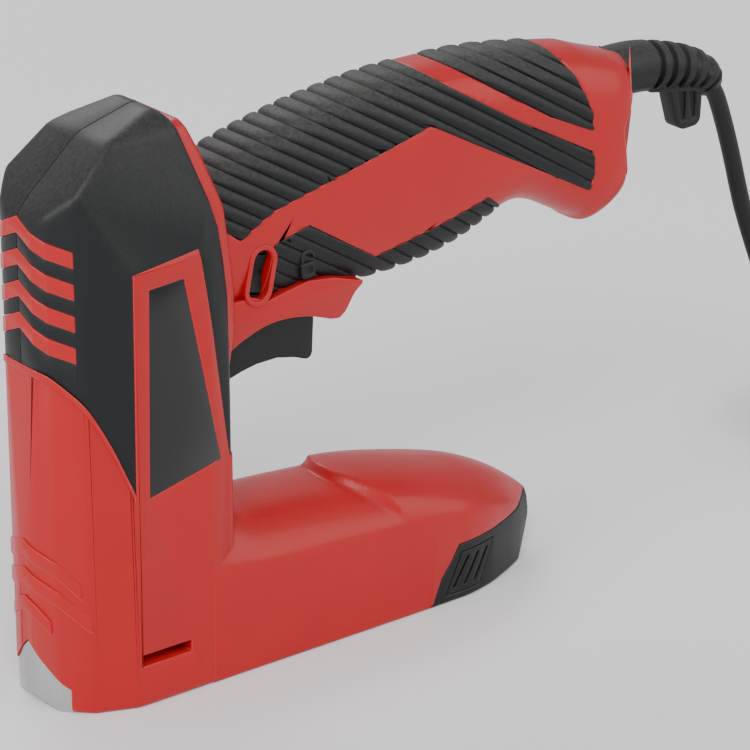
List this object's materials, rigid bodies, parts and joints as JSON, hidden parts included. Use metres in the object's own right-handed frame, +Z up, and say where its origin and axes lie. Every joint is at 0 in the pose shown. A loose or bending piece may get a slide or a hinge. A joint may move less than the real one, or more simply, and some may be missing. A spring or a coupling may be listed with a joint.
{
  "type": "staple gun",
  "caption": "Mains-powered staple gun with a solenoid head, ribbed hand grip, trigger, cross-button lock, pull-out staple magazine and rubber lead.",
  "frame": {"origin": "centre of the staple outlet, on the flat underside of the nose and magazine", "axes": "+X back from the nose to the end of the grip and the lead, +Y to the tool's right side, +Z up, away from the work"},
  "size_m": [0.4745, 0.0602, 0.193],
  "materials": {
    "red_shell": "satin moulded ABS",
    "black_shell": "satin moulded nylon",
    "name_plate": "gloss, bare",
    "soft_grip": "soft-touch, ribbed",
    "steel_sheet": "zinc plated",
    "staple_wire": "galvanised",
    "ground_steel": "ground",
    "brass": "turned",
    "spring_wire": "drawn wire",
    "plug_metal": "nickel plated",
    "screws": "black oxide",
    "bobbin": "moulded nylon",
    "copper_winding": "enamelled copper wire",
    "bumper_rubber": "matt",
    "switch_case": "moulded",
    "switch_button": "moulded",
    "board": "solder mask",
    "board_parts": "moulded cases",
    "terminal_block": "moulded",
    "inner_leads": "insulation",
    "lead_rubber": "matt rubber",
    "tie": "nylon strap",
    "plug_rubber": "moulded on"
  },
  "bodies": {
    "housing": {"housing_left": "red_shell", "housing_right": "red_shell", "head_cover_left": "black_shell", "head_cover_right": "black_shell", "front_stripes": "red_shell", "name_plates": "name_plate", "soft_grip_left": "soft_grip", "soft_grip_right": "soft_grip", "nose_piece": "steel_sheet", "blade_guide": "steel_sheet", "magazine_channel": "steel_sheet", "staple_stick": "staple_wire", "solenoid_frame": "steel_sheet", "bobbin": "bobbin", "winding": "copper_winding", "upper_bumper": "bumper_rubber", "bumper_bracket": "steel_sheet", "lower_bumper": "bumper_rubber", "trigger_pin": "ground_steel", "microswitch": "switch_case", "circuit_board": "board", "board_parts": "board_parts", "terminal_block": "terminal_block", "inner_leads": "inner_leads", "cord_clamp": "switch_case", "clamp_screws": "screws", "housing_screws": "screws", "strain_relief": "lead_rubber", "lead": "lead_rubber", "lead_coil": "lead_rubber", "lead_tie": "tie", "plug_body": "plug_rubber", "plug_pins": "plug_metal", "return_spring": "spring_wire", "trigger_spring": "spring_wire"},
    "striker": {"armature": "ground_steel", "push_rod": "brass", "blade_carrier": "steel_sheet", "driver_blade": "ground_steel", "blade_screws": "screws"},
    "trigger": {"trigger": "black_shell"},
    "switch_button": {"switch_button": "switch_button"},
    "lock_button": {"lock_button": "black_shell"},
    "drawer": {"drawer_rail": "steel_sheet", "drawer_end": "black_shell", "pusher_rod": "ground_steel", "pusher_spring": "spring_wire", "tab_springs": "spring_wire"},
    "pusher": {"pusher": "steel_sheet"},
    "tab_left": {"tab_left": "black_shell"},
    "tab_right": {"tab_right": "black_shell"}
  },
  "joints": [
    {"name": "striker_slide", "type": "slide", "parent": "housing", "child": "striker", "axis": [0, 0, -1], "range_m": [0, 0.017], "stiffness_N_per_m": 600, "springref_m": -0.004, "deforming": ["return_spring"]},
    {"name": "trigger_hinge", "type": "hinge", "parent": "housing", "child": "trigger", "pos_m": [0.062, 0, 0.118], "axis": [0, -1, 0], "range_deg": [0, 8], "stiffness_Nm_per_rad": 0.6, "springref_deg": -8.59, "deforming": ["trigger_spring"]},
    {"name": "switch_button_slide", "type": "slide", "parent": "housing", "child": "switch_button", "axis": [0, 0, 1], "range_m": [0, 0.002]},
    {"name": "lock_button_slide", "type": "slide", "parent": "housing", "child": "lock_button", "axis": [0, -1, 0], "range_m": [0, 0.005]},
    {"name": "drawer_slide", "type": "slide", "parent": "housing", "child": "drawer", "axis": [1, 0, 0], "range_m": [0, 0.105]},
    {"name": "pusher_slide", "type": "slide", "parent": "drawer", "child": "pusher", "axis": [1, 0, 0], "range_m": [0, 0.03], "stiffness_N_per_m": 60, "springref_m": -0.04, "deforming": ["pusher_spring"]},
    {"name": "tab_left_slide", "type": "slide", "parent": "drawer", "child": "tab_left", "axis": [0, 1, 0], "range_m": [0, 0.0015], "stiffness_N_per_m": 800, "springref_m": -0.001, "deforming": ["tab_springs"]},
    {"name": "tab_right_slide", "type": "slide", "parent": "drawer", "child": "tab_right", "axis": [0, -1, 0], "range_m": [0, 0.0015], "stiffness_N_per_m": 800, "springref_m": -0.001, "deforming": ["tab_springs"]}
  ],
  "couplings": [
    {"joint": "switch_button_slide", "follows": "trigger_hinge", "m_per_rad": 0.013}
  ]
}
